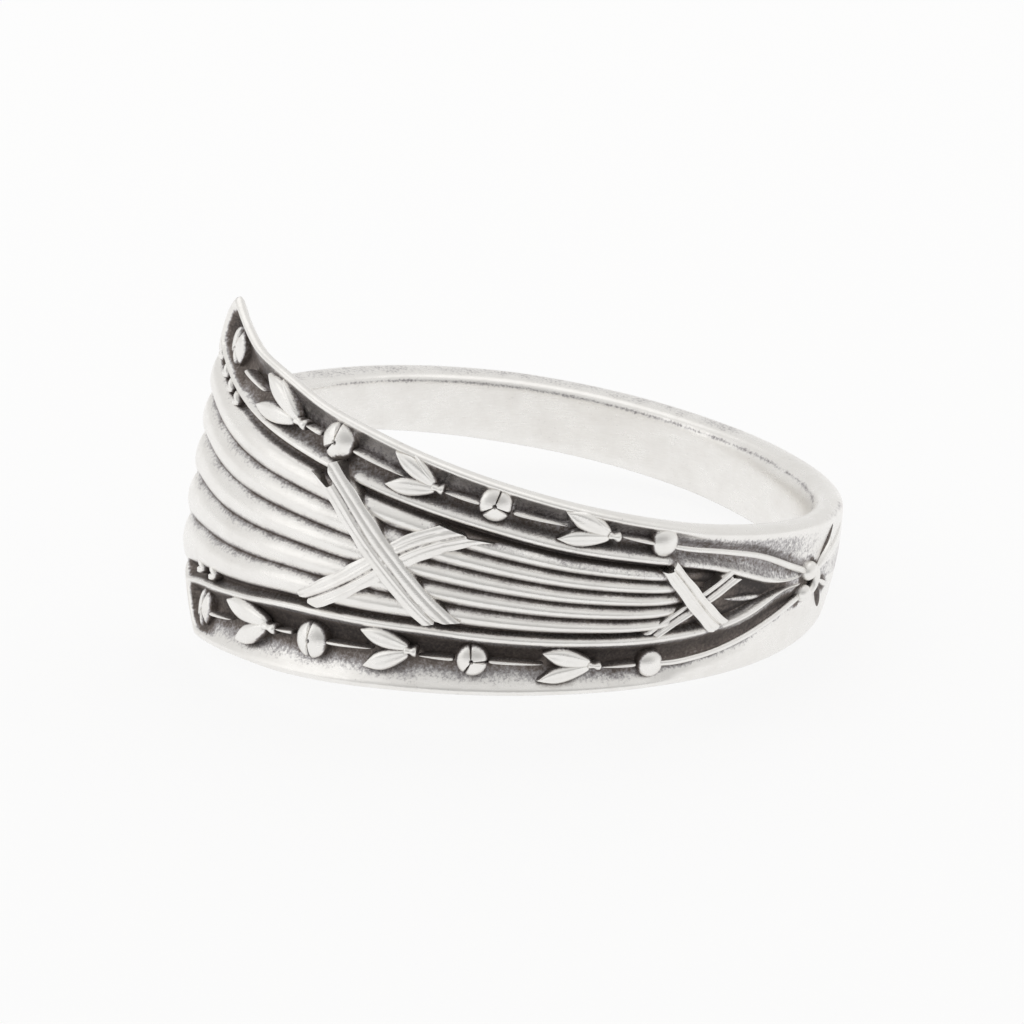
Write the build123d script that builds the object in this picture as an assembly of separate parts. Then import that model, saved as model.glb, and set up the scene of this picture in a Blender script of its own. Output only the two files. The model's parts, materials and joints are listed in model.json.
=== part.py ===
from build123d import *
from collections import namedtuple
from math import asin, cos, degrees, radians, sin, sqrt
import os

import numpy as np

# A finger ring bent from the handle of a small silver spoon. It is one piece of metal. The wide
# end of the handle is on the left of the decorated front, and the stem runs round the back and
# is closed on the wide end. Lengths are in millimetres. Angles are in degrees round the finger,
# from the middle of the front, growing towards the right.

# Band
FINGER_RADIUS = 8.7
FRONT_WALL = 1.15
STEM_WALL = 1.4
WIDE_HALF = 5.17
EDGE_BEVEL = 0.2
EDGE_DROP = 0.12
BACK_EASE = 0.28
FRONT_CROWN = 0.08
STEM_CROWN = 0.3
BLANK_DEPTH = 0.5
SLIM_SHARE = 0.5

# Wide end
CORNER_ANGLE = -69.0
END_BULGE = 1.3
END_RIM = 0.75
END_FADE = 0.35
END_RISE = 0.35

# Relief
RIM_WIDTH = 0.36
WALL_SLOPE = 0.12
CHANNEL_DEPTH = 0.42
RIDGE_HALF = 0.1
RIDGE_SET = 0.03
GAP_DEPTH = 0.45
GAP_SHARE = 0.085
REED_COUNT = 5
REED_DEPTH = 0.24
REED_RISE = 0.1
REED_SHOULDER = 0.06
REED_FLANK = 0.22
ORNAMENT_SHIFT = 0.18

# Cast ornament
BEAD_RADIUS = 0.38
BUD_RADIUS = 0.46
BEAD_RISE = 0.1
SPLIT_WIDTH = 0.07
SPLIT_DEPTH = 0.16
SPLIT_TURNS = (90, 215, 325)
BEAD_PAIRS = 4
BEAD_PITCH = 29.5
FIRST_BEAD = 27.5
SLOPE_SPAN = 10.0
HUSK_LEAF = 1.25
HUSK_WIDTH = 0.46
HUSK_SPREAD = 27.0
HUSK_COLLAR = 0.3
HUSK_RISE = 0.08
STALK_WIDTH = 0.14
RIBBON_RISE = 0.24
RIBBON_STEP = 0.09
RIBBON_NOTCH = 0.25
TOP_RIBBON = 0.95
UNDER_RIBBON = 0.68
SMALL_RIBBON = 0.5
THREAD_WIDTH = 0.18
THREAD_RISE = 0.05
SCROLL_LENGTH = 1.7
SCROLL_WIDTH = 0.34
SCROLL_SET = 0.27
SCROLL_TURN = 12.0
SCROLL_ANGLE = -60.0
BOW_ANGLE = 67.0
KNOT_RADIUS = 0.36
LOOP_LENGTH = 1.6
LOOP_WIDTH = 0.42
LOOP_TURN = 42.0
TAIL_LENGTH = 1.28
TAIL_WIDTH = 0.25
TAIL_TURN = 15.0
BOW_RISE = 0.12
ROOT_DEPTH = 0.55
SLIVER_LENGTH = 1.3
SLIVER_WIDTH = 0.22
SLIVER_ANGLE = 50.0
SLIVER_RISE = 0.02

# Cutting tools reach this far past what they cut, and the wide end's cutter starts this far under
# the finger hole's wall. Raised plates stand TRIM_ROOM too tall before they are trimmed.
TOOL_REACH = 21.0
CUTTER_ROOT = 0.9
CUTTER_DEPTH = 3.6
TRIM_ROOM = 0.9

# Search for the way the ring rests: first and last tilt step, and the fineness of its facets
FIRST_TILT_STEP = 6.0
LAST_TILT_STEP = 0.02
REST_FACETS = 0.05

# Each row is one section of the band. half and ridge are shares of WIDE_HALF: half of the band's
# width, and how far the thin ridges lie from the middle. rise is a share of END_RISE. stem goes
# from 0 at the front's wall and crown to 1 at the stem's. edge is the band's side edge as a share
# of the wall. channel, gap and reed are shares of those depths, and shift of ORNAMENT_SHIFT.
Section = namedtuple("Section", "angle half ridge rise stem edge channel gap reed shift")
SECTIONS = [
    Section(-91, 1.000, 0.760, 0.90, 0.00, 0.45, 1.00, 1.00, 1.0, 1.0),
    Section(-87, 1.000, 0.760, 0.90, 0.00, 0.45, 1.00, 1.00, 1.0, 1.0),
    Section(-83, 1.000, 0.760, 0.90, 0.00, 0.45, 1.00, 1.00, 1.0, 1.0),
    Section(-80, 1.000, 0.760, 0.90, 0.00, 0.45, 1.00, 1.00, 1.0, 1.0),
    Section(-77, 1.000, 0.760, 0.90, 0.00, 0.45, 1.00, 1.00, 1.0, 1.0),
    Section(-74, 1.000, 0.750, 0.90, 0.00, 0.45, 1.00, 1.00, 1.0, 1.0),
    Section(-71, 0.997, 0.715, 0.85, 0.00, 0.45, 1.00, 1.00, 1.0, 1.0),
    Section(-67, 0.983, 0.660, 0.65, 0.00, 0.45, 1.00, 1.00, 1.0, 1.0),
    Section(-62, 0.950, 0.605, 0.35, 0.00, 0.45, 1.00, 1.00, 1.0, 1.0),
    Section(-56, 0.909, 0.550, 0.10, 0.00, 0.47, 1.00, 1.00, 1.0, 1.0),
    Section(-48, 0.861, 0.505, 0.00, 0.00, 0.50, 1.00, 1.00, 1.0, 1.0),
    Section(-38, 0.812, 0.458, 0.00, 0.00, 0.53, 1.00, 1.00, 1.0, 1.0),
    Section(-28, 0.764, 0.408, 0.00, 0.00, 0.56, 1.00, 0.95, 1.0, 1.0),
    Section(-18, 0.706, 0.365, 0.00, 0.00, 0.60, 1.00, 0.90, 1.0, 1.0),
    Section(-8, 0.645, 0.333, 0.00, 0.00, 0.64, 1.00, 0.85, 1.0, 1.0),
    Section(2, 0.593, 0.306, 0.00, 0.00, 0.67, 1.00, 0.80, 1.0, 1.0),
    Section(12, 0.551, 0.280, 0.00, 0.00, 0.69, 1.00, 0.80, 1.0, 1.0),
    Section(22, 0.509, 0.252, 0.00, 0.00, 0.71, 0.95, 0.80, 1.0, 1.0),
    Section(28, 0.484, 0.236, 0.00, 0.00, 0.72, 0.85, 0.85, 0.9, 1.0),
    Section(34, 0.463, 0.217, 0.00, 0.00, 0.73, 0.70, 0.95, 0.2, 1.0),
    Section(40, 0.446, 0.195, 0.00, 0.00, 0.74, 0.55, 1.00, 0.0, 0.8),
    Section(46, 0.431, 0.164, 0.00, 0.00, 0.75, 0.45, 1.00, 0.0, 0.5),
    Section(52, 0.417, 0.112, 0.00, 0.00, 0.76, 0.35, 0.90, 0.0, 0.2),
    Section(57, 0.402, 0.060, 0.00, 0.00, 0.77, 0.22, 0.50, 0.0, 0.0),
    Section(62, 0.388, 0.040, 0.00, 0.05, 0.78, 0.10, 0.00, 0.0, 0.0),
    Section(68, 0.372, 0.060, 0.00, 0.08, 0.78, 0.00, 0.00, 0.0, 0.0),
    Section(76, 0.348, 0.095, 0.00, 0.15, 0.78, 0.00, 0.00, 0.0, 0.0),
    Section(86, 0.313, 0.125, 0.00, 0.25, 0.79, 0.00, 0.00, 0.0, 0.0),
    Section(100, 0.272, 0.135, 0.00, 0.45, 0.81, 0.00, 0.00, 0.0, 0.0),
    Section(118, 0.242, 0.132, 0.00, 0.75, 0.83, 0.00, 0.00, 0.0, 0.0),
    Section(140, 0.230, 0.128, 0.00, 1.00, 0.85, 0.00, 0.00, 0.0, 0.0),
    Section(162, 0.225, 0.125, 0.00, 1.00, 0.85, 0.00, 0.00, 0.0, 0.0),
    Section(184, 0.218, 0.120, 0.00, 1.00, 0.85, 0.00, 0.00, 0.0, 0.0),
    Section(204, 0.200, 0.110, 0.00, 1.00, 0.85, 0.00, 0.00, 0.0, 0.0),
    Section(222, 0.178, 0.098, 0.00, 1.00, 0.85, 0.00, 0.00, 0.0, 0.0),
    Section(240, 0.160, 0.088, 0.00, 1.00, 0.85, 0.00, 0.00, 0.0, 0.0),
]

# The stem's last stretch thins out and closes on the wide end: wall is a share of STEM_WALL.
Foot = namedtuple("Foot", "angle half wall")
FOOT = [
    Foot(240, 0.160, 1.00),
    Foot(248, 0.153, 0.97),
    Foot(256, 0.148, 0.88),
    Foot(264, 0.143, 0.74),
    Foot(272, 0.140, 0.60),
    Foot(280, 0.138, 0.50),
    Foot(288, 0.136, 0.46),
]

# Crossed ribbons: each strip runs from the angle and height of its start to those of its end, with
# heights as shares of the ridge's distance at the wide pair's or the small pair's middle.
Strip = namedtuple("Strip", "start_angle start_height end_angle end_height width over")
RIBBONS = [
    Strip(-31.5, 1.02, -7.5, -0.86, TOP_RIBBON, True),
    Strip(-32.0, -0.90, -3.5, 0.90, UNDER_RIBBON, False),
    Strip(28.5, 0.98, 41.0, -0.82, SMALL_RIBBON, True),
    Strip(28.5, -0.84, 41.5, 0.82, SMALL_RIBBON, False),
]


def mix(low, high, share):
    return low + (high - low) * share


def at_angle(column, angle):
    """A column of the section table at any angle, on straight lines between its rows."""
    angles = [row.angle for row in SECTIONS]
    return float(np.interp(angle, angles, [getattr(row, column) for row in SECTIONS]))


def middle(angle):
    """Height of the band's middle line."""
    return END_RISE * at_angle("rise", angle)


def ornament_middle(angle):
    """Height of the ornament's middle line, which was struck a little off the band's."""
    return middle(angle) + ORNAMENT_SHIFT * at_angle("shift", angle)


def ridge_height(angle):
    return WIDE_HALF * at_angle("ridge", angle)


def channel_height(angle):
    """How far the middle of a channel lies from the ornament's middle line."""
    outer = WIDE_HALF * at_angle("half", angle) - EDGE_BEVEL - RIM_WIDTH - WALL_SLOPE
    inner = ridge_height(angle) + RIDGE_HALF + WALL_SLOPE
    return (outer + inner) / 2


def outer_radius(angle, height=0.0, half=1.0):
    """Outside of the band before any relief, at a height from its middle line."""
    stem = at_angle("stem", angle)
    wall = mix(FRONT_WALL, STEM_WALL, stem)
    crown = mix(FRONT_CROWN, STEM_CROWN, stem)
    return FINGER_RADIUS + wall - crown * (height / half) ** 2


def arc_length(span):
    return radians(span) * (FINGER_RADIUS + FRONT_WALL)


def end_share(angle, height):
    """0 on the wide end's rim, 1 where the relief has its full depth."""
    past_corner = arc_length(angle - CORNER_ANGLE)
    end_line = -END_BULGE * (1 - (height / WIDE_HALF) ** 2)
    return min(max((past_corner - end_line - END_RIM) / END_FADE, 0), 1)


def on_circle(angle, radius, height):
    return (radius * sin(radians(angle)), -radius * cos(radians(angle)), height)


def side_points(row, side):
    """Points of one side of a section, from the finger hole out to the reeds: height and radius."""
    half = WIDE_HALF * row.half
    ridge = WIDE_HALF * row.ridge
    lift = middle(row.angle)
    shift = ORNAMENT_SHIFT * row.shift
    wall = mix(FRONT_WALL, STEM_WALL, row.stem)
    ridge_half = min(RIDGE_HALF, ridge * GAP_SHARE / 2)
    slim = min(1, row.half / SLIM_SHARE)
    edge = half - EDGE_BEVEL * slim
    rim = edge - RIM_WIDTH * slim
    floor = rim - WALL_SLOPE * slim

    def outside(height, depth, band_line):
        from_middle = side * height + (0 if band_line else shift)
        base = outer_radius(row.angle, from_middle, half)
        return (lift + from_middle, base - depth * end_share(row.angle, from_middle))

    rim_crest = outer_radius(row.angle, half, half)
    return [
        (lift + side * half * (1 - BACK_EASE), FINGER_RADIUS - BLANK_DEPTH),
        (lift + side * half, rim_crest - wall * row.edge),
        (lift + side * half, rim_crest - EDGE_DROP),
        outside(edge, 0, True),
        outside(rim, 0, True),
        outside(floor, CHANNEL_DEPTH * row.channel, True),
        outside(ridge + ridge_half + WALL_SLOPE, CHANNEL_DEPTH * row.channel, False),
        outside(ridge + ridge_half, RIDGE_SET * row.channel, False),
        outside(ridge - ridge_half, RIDGE_SET * row.channel, False),
        outside(ridge * (1 - GAP_SHARE), GAP_DEPTH * row.gap, False),
    ]


def reed_points(row):
    """Points across the reeds, from the lowest groove to the highest."""
    half = WIDE_HALF * row.half
    reach = WIDE_HALF * row.ridge * (1 - 2 * GAP_SHARE)
    pitch = 2 * reach / REED_COUNT
    flat = GAP_DEPTH * row.gap
    arch = [(REED_FLANK, -REED_SHOULDER), (0.5, -REED_RISE), (1 - REED_FLANK, -REED_SHOULDER)]
    points = []
    for reed in range(REED_COUNT):
        groove = (0, REED_DEPTH if reed else GAP_DEPTH)
        for place, depth in [groove] + arch:
            height = -reach + pitch * (reed + place) + ORNAMENT_SHIFT * row.shift
            sunk = mix(flat, depth, row.reed) * end_share(row.angle, height)
            points.append((middle(row.angle) + height, outer_radius(row.angle, height, half) - sunk))
    top = reach + ORNAMENT_SHIFT * row.shift
    sunk = flat * end_share(row.angle, top)
    points.append((middle(row.angle) + top, outer_radius(row.angle, top, half) - sunk))
    return points


def band_section(row):
    lower = side_points(row, -1)
    upper = side_points(row, 1)
    outline = lower + reed_points(row) + upper[::-1]
    return Wire.make_polygon([on_circle(row.angle, radius, height) for height, radius in outline])


def foot_section(row):
    """A section of the stem's last stretch: the band's own section there, only thinner."""
    half = WIDE_HALF * row.half
    bevel = EDGE_BEVEL * row.half / SLIM_SHARE
    top = FINGER_RADIUS + STEM_WALL * row.wall
    side = [
        (half * (1 - BACK_EASE), FINGER_RADIUS - BLANK_DEPTH / 2),
        (half, top - STEM_CROWN - EDGE_DROP - STEM_WALL * row.wall / 2),
        (half, top - STEM_CROWN - EDGE_DROP),
        (half - bevel, top - STEM_CROWN),
        (half / 2, top - STEM_CROWN / 4),
    ]
    outline = [(-height, radius) for height, radius in side]
    outline += [(0, top)] + side[::-1]
    return Wire.make_polygon([on_circle(row.angle, radius, height) for height, radius in outline])


def wide_end_cutter():
    """Everything beyond the wide end's bulging edge."""
    radius = (WIDE_HALF ** 2 + END_BULGE ** 2) / (2 * END_BULGE)
    waste = Rectangle(TOOL_REACH, TOOL_REACH, align=(Align.MAX, Align.CENTER))
    overhang = sqrt(radius ** 2 - (WIDE_HALF + EDGE_BEVEL) ** 2)
    outline = Pos(-overhang, 0) * waste - Circle(radius)
    centre = radius - END_BULGE
    plate = extrude(Pos(centre, middle(CORNER_ANGLE)) * outline, CUTTER_DEPTH)
    return tangent_plane(CORNER_ANGLE, 0, FINGER_RADIUS - CUTTER_ROOT) * plate


def tangent_plane(angle, height, radius):
    """X runs round the finger to the right, Y up the finger's axis and Z outwards."""
    return Plane(
        origin=on_circle(angle, radius, height),
        x_dir=(cos(radians(angle)), sin(radians(angle)), 0),
        z_dir=(sin(radians(angle)), -cos(radians(angle)), 0),
    )


def rooted(face, angle, height, rise):
    """A raised piece with a flat outline, rooted in the band and standing proud of its outside."""
    reach = outer_radius(angle)
    plate = tangent_plane(angle, height, reach - ROOT_DEPTH) * extrude(face, ROOT_DEPTH + TRIM_ROOM)
    return plate & Cylinder(reach + rise, TOOL_REACH)


def leaf(length, width):
    """A pointed leaf with its base at the origin and its tip on the left."""
    upper = ThreePointArc((0, 0), (-length / 2, width / 2), (-length, 0))
    lower = ThreePointArc((-length, 0), (-length / 2, -width / 2), (0, 0))
    return make_face([upper, lower])


def bar(length, width):
    return SlotOverall(length, width)


def bead(angle, height):
    radius = BEAD_RADIUS
    crest = outer_radius(angle) + BEAD_RISE
    return tangent_plane(angle, height, crest - radius) * Sphere(radius)


def bud(angle, height):
    """A round bud split into three lobes."""
    crest = outer_radius(angle) + BEAD_RISE
    split = Box(BUD_RADIUS, SPLIT_WIDTH, 2 * SPLIT_DEPTH, align=(Align.MIN, Align.CENTER, Align.CENTER))
    ball = Sphere(BUD_RADIUS)
    for turn in SPLIT_TURNS:
        ball -= Pos(0, 0, BUD_RADIUS) * Rot(0, 0, turn) * split
    return tangent_plane(angle, height, crest - BUD_RADIUS) * ball


def husk_outline():
    """Three pointed leaves, open to the left, with a collar on the right."""
    outline = Pos(HUSK_COLLAR / 2, 0) * bar(2 * HUSK_COLLAR, HUSK_COLLAR)
    for turn in (-HUSK_SPREAD, 0, HUSK_SPREAD):
        outline += Rot(0, 0, turn) * leaf(HUSK_LEAF, HUSK_WIDTH)
    return outline


def channel_ornament():
    """Beads, buds and stalked husks along both channels."""
    pieces = []
    for side in (-1, 1):
        for pair in range(BEAD_PAIRS):
            angle = FIRST_BEAD - pair * BEAD_PITCH
            height = ornament_middle(angle) + side * channel_height(angle)
            round_piece = bead if pair == 0 else bud
            pieces.append(round_piece(angle, height))
        for pair in range(BEAD_PAIRS - 1):
            angle = FIRST_BEAD - (pair + 0.5) * BEAD_PITCH
            height = ornament_middle(angle) + side * channel_height(angle)
            climb = channel_height(angle + SLOPE_SPAN / 2) - channel_height(angle - SLOPE_SPAN / 2)
            slope = side * degrees(asin(climb / arc_length(SLOPE_SPAN)))
            stalk = bar(arc_length(BEAD_PITCH) - BUD_RADIUS, STALK_WIDTH)
            outline = Rot(0, 0, slope) * (stalk + Pos(HUSK_LEAF / 2, 0) * husk_outline())
            pieces.append(rooted(outline, angle, height, HUSK_RISE))
    return pieces


def strip_between(start, end, width, rise, notch=0.0):
    """A flat strip between two points on the band, trimmed to follow the band's roundness."""
    half_way = (start[0] + end[0]) / 2
    reach = FINGER_RADIUS + FRONT_WALL
    first = Vector(reach * sin(radians(start[0] - half_way)), start[1])
    last = Vector(reach * sin(radians(end[0] - half_way)), end[1])
    along = (last - first).normalized()
    across = Vector(-along.Y, along.X) * width / 2
    outline = [first + across, first + along * notch, first - across]
    outline += [last - across, last - along * notch, last + across]
    face = make_face(Polyline(*[(point.X, point.Y) for point in outline], close=True))
    sink = ROOT_DEPTH + (1 - cos(radians((end[0] - start[0]) / 2))) * reach / 2
    plate = tangent_plane(half_way, 0, outer_radius(half_way) - sink) * extrude(face, sink + TRIM_ROOM)
    return plate & Cylinder(reach + rise, TOOL_REACH)


def ribbons():
    pieces = []
    for row in RIBBONS:
        crossing = (row.start_angle + row.end_angle) / 2
        start = ornament_middle(row.start_angle) + row.start_height * ridge_height(crossing)
        end = ornament_middle(row.end_angle) + row.end_height * ridge_height(crossing)
        rise = RIBBON_RISE if row.over else RIBBON_RISE - RIBBON_STEP
        ends = ((row.start_angle, start), (row.end_angle, end))
        pieces.append(strip_between(*ends, row.width, rise, notch=RIBBON_NOTCH * row.width))
    return pieces


def threads():
    """Thin threads from the plain beads to the bow, along the channels' middle."""
    half_way = (FIRST_BEAD + BOW_ANGLE) / 2
    reach = FINGER_RADIUS + FRONT_WALL
    pieces = []
    for side in (-1, 1):
        stops = [
            (FIRST_BEAD, ornament_middle(FIRST_BEAD) + side * channel_height(FIRST_BEAD)),
            (half_way, ornament_middle(half_way) + side * channel_height(half_way)),
            (BOW_ANGLE, 0),
        ]
        path = [(reach * sin(radians(angle - half_way)), height) for angle, height in stops]
        line = ThreePointArc(*path)
        outline = trace(line, THREAD_WIDTH)
        plate = tangent_plane(half_way, 0, reach - 2 * ROOT_DEPTH) * extrude(outline, 3 * ROOT_DEPTH)
        pieces.append(plate & Cylinder(reach + THREAD_RISE, TOOL_REACH))
    return pieces


def scrolls():
    """A leaf scroll in each wide corner of the reeds, just inside the ridge."""
    pieces = []
    for side in (-1, 1):
        height = ornament_middle(SCROLL_ANGLE) + side * (ridge_height(SCROLL_ANGLE) - SCROLL_SET)
        turned_leaf = Rot(0, 0, side * SCROLL_TURN) * leaf(SCROLL_LENGTH, SCROLL_WIDTH)
        face = Pos(SCROLL_LENGTH / 2, 0) * turned_leaf
        pieces.append(rooted(face, SCROLL_ANGLE, height, HUSK_RISE))
    return pieces


def bow():
    """A small knot with two loops and two tails, all pointing to the right."""
    outline = Circle(KNOT_RADIUS)
    for side in (-1, 1):
        outline += Rot(0, 0, 180 + side * LOOP_TURN) * leaf(LOOP_LENGTH, LOOP_WIDTH)
        outline += Rot(0, 0, 180 + side * TAIL_TURN) * leaf(TAIL_LENGTH, TAIL_WIDTH)
    return [rooted(outline, BOW_ANGLE, 0, BOW_RISE)]


def sliver():
    """The narrow raised sliver in the sunk point of the reeds."""
    return [rooted(leaf(SLIVER_LENGTH, SLIVER_WIDTH), SLIVER_ANGLE, 0, SLIVER_RISE)]


def build_ring():
    """The ring round the finger's own axis."""
    band = Solid.make_loft([band_section(row) for row in SECTIONS])
    foot = Solid.make_loft([foot_section(row) for row in FOOT])
    band = band - wide_end_cutter()
    raised = channel_ornament() + ribbons() + threads() + scrolls() + bow() + sliver()
    ring = band.fuse(foot, *[solid for piece in raised for solid in piece.solids()])
    hole = Cylinder(FINGER_RADIUS, TOOL_REACH)
    return (ring - hole).solid()


def resting_turn(solid):
    """Tilts about X and Y that bring the centre of mass lowest over the surface it lies on."""
    points = np.array([tuple(point) for point in solid.tessellate(REST_FACETS)[0]])
    mass_centre = np.array(tuple(solid.center(CenterOf.MASS)))
    points = points[points[:, 2] < mass_centre[2]] - mass_centre
    best = (0.0, 0.0)
    step = FIRST_TILT_STEP
    while step > LAST_TILT_STEP:
        trials = []
        for a in (-2, -1, 0, 1, 2):
            for b in (-2, -1, 0, 1, 2):
                tilt = (best[0] + a * step, best[1] + b * step)
                down = Vector(0, 0, -1).rotate(Axis.Y, -tilt[1]).rotate(Axis.X, -tilt[0])
                trials.append((float((points @ np.array(tuple(down))).max()), tilt))
        best = min(trials)[1]
        step /= 2
    return best


def main():
    os.makedirs("parts", exist_ok=True)
    ring = build_ring()
    tilt_x, tilt_y = resting_turn(ring)
    lying = ring.rotate(Axis.X, tilt_x).rotate(Axis.Y, tilt_y)
    box = lying.bounding_box()
    drop = Vector(-box.center().X, -box.center().Y, -box.min.Z)
    lying = lying.translate(drop)
    lying.label = "ring_band"
    export_step(lying, "parts/ring_band.step")
    hole_centre = Vector(0, 0, 0).rotate(Axis.X, tilt_x).rotate(Axis.Y, tilt_y) + drop
    hole_axis = Vector(0, 0, 1).rotate(Axis.X, tilt_x).rotate(Axis.Y, tilt_y)
    print("volume", round(lying.volume, 2), "box", lying.bounding_box().size)
    print("finger hole centre", tuple(hole_centre), "axis", tuple(hole_axis))
    print("tilt", tilt_x, tilt_y)


main()
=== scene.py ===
# %% [markdown]
# # A ring made from a spoon's handle
# A small silver spoon loses its bowl, and its handle is bent round a finger. The wide end of the
# handle becomes the decorated front, and the narrow stem goes round the back. A jeweller works on
# the handle while it is still flat, so this notebook does too: every piece is modelled flat, in
# millimetres, and the last steps bend all of it round the finger and lay it down on the floor.

# %% Load the fixed frame
import json
import math

import bmesh
import bpy
import numpy as np
from mathutils import Matrix, Vector


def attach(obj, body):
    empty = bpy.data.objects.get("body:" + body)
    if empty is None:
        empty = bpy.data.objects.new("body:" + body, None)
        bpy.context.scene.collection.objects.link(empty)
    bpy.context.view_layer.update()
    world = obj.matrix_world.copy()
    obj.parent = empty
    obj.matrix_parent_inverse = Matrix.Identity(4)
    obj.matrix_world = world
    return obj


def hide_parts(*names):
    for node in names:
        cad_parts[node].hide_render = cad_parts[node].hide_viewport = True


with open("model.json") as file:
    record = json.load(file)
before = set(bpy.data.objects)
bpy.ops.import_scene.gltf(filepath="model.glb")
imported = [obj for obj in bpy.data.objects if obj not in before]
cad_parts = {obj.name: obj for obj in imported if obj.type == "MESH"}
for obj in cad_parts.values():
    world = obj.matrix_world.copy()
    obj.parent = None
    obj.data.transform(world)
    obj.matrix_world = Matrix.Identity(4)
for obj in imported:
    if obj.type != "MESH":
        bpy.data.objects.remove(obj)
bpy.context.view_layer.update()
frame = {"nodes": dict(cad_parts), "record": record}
print("CAD nodes:", sorted(frame["nodes"]))

# %% [markdown]
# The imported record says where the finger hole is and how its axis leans, because the ring lies on
# its side and one side is wider than the other. Two turns, first about X and then about Y, take an
# upright finger axis to the leaning one, so both angles can be worked out from the axis alone.

# %% Where the ring lies
HOLE = next(m for m in frame["record"]["mounts"] if m["name"] == "finger_hole")
hole_axis = Vector(HOLE["axis"]).normalized()
tilt_x = -math.asin(hole_axis.y)
tilt_y = math.atan2(hole_axis.x, hole_axis.z)
MM = 0.001
to_floor = (
    Matrix.Translation(Vector(HOLE["pos_m"]))
    @ Matrix.Rotation(tilt_y, 4, "Y")
    @ Matrix.Rotation(tilt_x, 4, "X")
)
print("The ring leans", round(math.degrees(tilt_x), 2), "and", round(math.degrees(tilt_y), 2))

# %% [markdown]
# ## The camera
# The photograph looks down at the ring by 17 degrees from the plane of its band, from 114 mm
# away, and turned by 9.4 degrees. A long lens at that distance gives the same weak
# perspective. Its place is worked out beside the upright ring and then carried along with it.

# %% Make the camera
ELEVATION = math.radians(17.12)
ROLL = math.radians(9.39)
DISTANCE = 114.2 * MM
FOCAL_PIXELS = 3760
FRAME_PIXELS = 1024
SENSOR_MM = 36
RING_CENTRE_PIXEL = (515.3, 493.5)

look = Vector((0, math.cos(ELEVATION), -math.sin(ELEVATION)))
right = Vector((1, 0, 0))
up = Vector((0, math.sin(ELEVATION), math.cos(ELEVATION)))
picture_right = right * math.cos(ROLL) + up * math.sin(ROLL)
picture_up = up * math.cos(ROLL) - right * math.sin(ROLL)
turn = Matrix((picture_right, picture_up, -look)).transposed().to_4x4()
bpy.ops.object.select_all(action="DESELECT")
bpy.ops.object.camera_add()
camera = bpy.context.object
camera.name = "camera"
camera.matrix_world = to_floor @ Matrix.Translation(-look * DISTANCE) @ turn
camera.data.sensor_width = SENSOR_MM
camera.data.lens = FOCAL_PIXELS / FRAME_PIXELS * SENSOR_MM
camera.data.shift_x = (FRAME_PIXELS / 2 - RING_CENTRE_PIXEL[0]) / FRAME_PIXELS
camera.data.shift_y = (RING_CENTRE_PIXEL[1] - FRAME_PIXELS / 2) / FRAME_PIXELS
camera.data.clip_start = MM
bpy.context.scene.camera = camera
print("camera at", tuple(round(c, 4) for c in camera.location), "lens", round(camera.data.lens, 1))

# %% [markdown]
# ## The bench
# On the bench the handle stands on its edge and faces us: X runs along the handle, Z up across its
# width, and what stands proud of its face comes towards us, along minus Y. One unit is one
# millimetre. Angles round the finger turn into lengths along X, because the face of the flat
# handle bends to a circle of FACE_RADIUS. These helpers select by place, as a click would.

# %% Bench helpers
FINGER_RADIUS = HOLE["dims"]["r_mm"]
FRONT_WALL = 1.15
FACE_RADIUS = FINGER_RADIUS + FRONT_WALL
pieces = []


def flat_x(angle):
    """Place along the flat handle of an angle round the finger, in degrees from the front."""
    return math.radians(angle) * FACE_RADIUS


def only(piece):
    """Select one object and nothing else."""
    if bpy.context.object and bpy.context.object.mode != "OBJECT":
        bpy.ops.object.mode_set(mode="OBJECT")
    bpy.ops.object.select_all(action="DESELECT")
    piece.select_set(True)
    bpy.context.view_layer.objects.active = piece


def named(name):
    """Name the primitive that was just added and settle its turn and size."""
    piece = bpy.context.object
    piece.name = name
    piece.data.name = name
    bpy.ops.object.transform_apply(location=True, rotation=True, scale=True)
    return piece


def edit(piece, test):
    """Go into edit mode with the vertices selected whose place passes the test."""
    only(piece)
    bpy.ops.object.mode_set(mode="EDIT")
    bpy.ops.mesh.select_mode(type="VERT")
    bpy.ops.mesh.select_all(action="DESELECT")
    mesh = bmesh.from_edit_mesh(piece.data)
    for vertex in mesh.verts:
        vertex.select_set(bool(test(vertex.co)))
    mesh.select_flush(True)
    bmesh.update_edit_mesh(piece.data)


def done():
    bpy.ops.object.mode_set(mode="OBJECT")


def modify(piece, kind, **settings):
    """Add a modifier, set it and apply it."""
    only(piece)
    modifier = piece.modifiers.new(kind.title(), kind)
    for key, value in settings.items():
        setattr(modifier, key, value)
    bpy.ops.object.modifier_apply(modifier=modifier.name)


def smooth_over(piece, levels):
    modify(piece, "SUBSURF", levels=levels, render_levels=levels)


def places(piece):
    flat = np.empty(len(piece.data.vertices) * 3)
    piece.data.vertices.foreach_get("co", flat)
    return flat.reshape(-1, 3)


def put(piece, points):
    piece.data.vertices.foreach_set("co", np.ascontiguousarray(points, float).ravel())
    piece.data.update()


def copy_of(piece, name, angle, height, level, turn=0.0, size=1.0):
    """A copy with its own mesh, turned in the face's plane and set down on the flat handle."""
    twin = piece.copy()
    twin.data = piece.data.copy()
    twin.name = twin.data.name = name
    bpy.context.collection.objects.link(twin)
    place = Matrix.Translation((flat_x(angle), -level, height))
    sized = Matrix.Diagonal((*(size if hasattr(size, "__len__") else (size,) * 3), 1))
    twin.data.transform(place @ Matrix.Rotation(-math.radians(turn), 4, "Y") @ sized)
    pieces.append(twin)
    return twin


def drop(piece):
    bpy.data.objects.remove(piece)


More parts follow.
